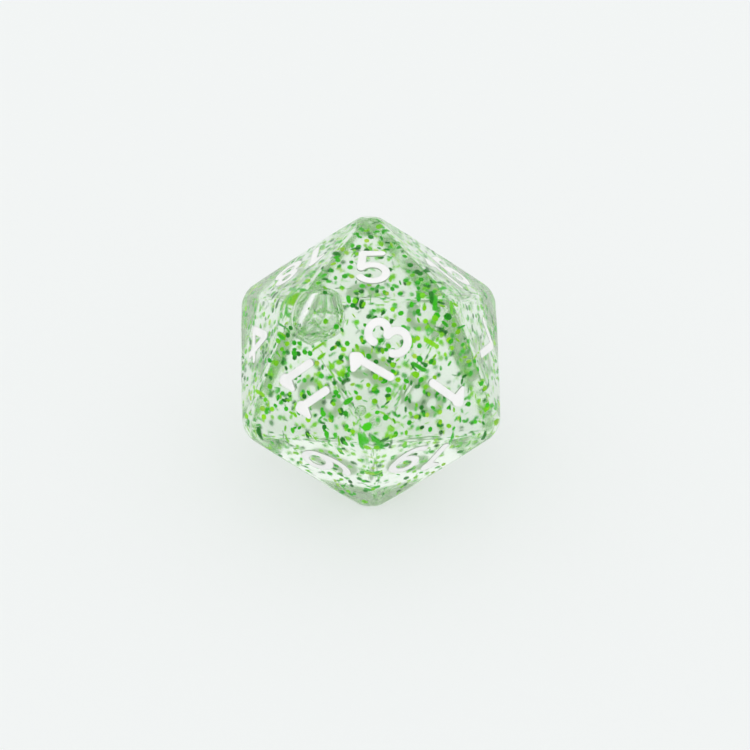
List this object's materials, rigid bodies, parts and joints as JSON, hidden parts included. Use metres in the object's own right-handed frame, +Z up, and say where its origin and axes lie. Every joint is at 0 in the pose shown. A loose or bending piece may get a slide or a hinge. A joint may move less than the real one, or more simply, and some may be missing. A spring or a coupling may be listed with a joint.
{
  "type": "polyhedral die",
  "caption": "Icosahedral gaming die of clear resin with embedded glitter, rounded corners and a white painted numeral engraved in each triangular face.",
  "frame": {"origin": "centre of the face that the die rests on, which carries 16", "axes": "+Z up, out of the opposite face, which carries 5; +Y away from the face that carries 13, which leans towards -Y"},
  "size_m": [0.0214, 0.0238, 0.02],
  "materials": {
    "clear_resin": "clear gloss resin with green glitter flakes inside",
    "numeral_paint": "matt white paint"
  },
  "bodies": {
    "root": {"resin_body": "clear_resin", "numeral_1": "numeral_paint", "numeral_2": "numeral_paint", "numeral_3": "numeral_paint", "numeral_4": "numeral_paint", "numeral_5": "numeral_paint", "numeral_6": "numeral_paint", "numeral_7": "numeral_paint", "numeral_8": "numeral_paint", "numeral_9": "numeral_paint", "numeral_10_tens": "numeral_paint", "numeral_10_ones": "numeral_paint", "numeral_11_tens": "numeral_paint", "numeral_11_ones": "numeral_paint", "numeral_12_tens": "numeral_paint", "numeral_12_ones": "numeral_paint", "numeral_13_tens": "numeral_paint", "numeral_13_ones": "numeral_paint", "numeral_14_tens": "numeral_paint", "numeral_14_ones": "numeral_paint", "numeral_15_tens": "numeral_paint", "numeral_15_ones": "numeral_paint", "numeral_16_tens": "numeral_paint", "numeral_16_ones": "numeral_paint", "numeral_17_tens": "numeral_paint", "numeral_17_ones": "numeral_paint", "numeral_18_tens": "numeral_paint", "numeral_18_ones": "numeral_paint", "numeral_19_tens": "numeral_paint", "numeral_19_ones": "numeral_paint", "numeral_20_tens": "numeral_paint", "numeral_20_ones": "numeral_paint"}
  },
  "joints": []
}
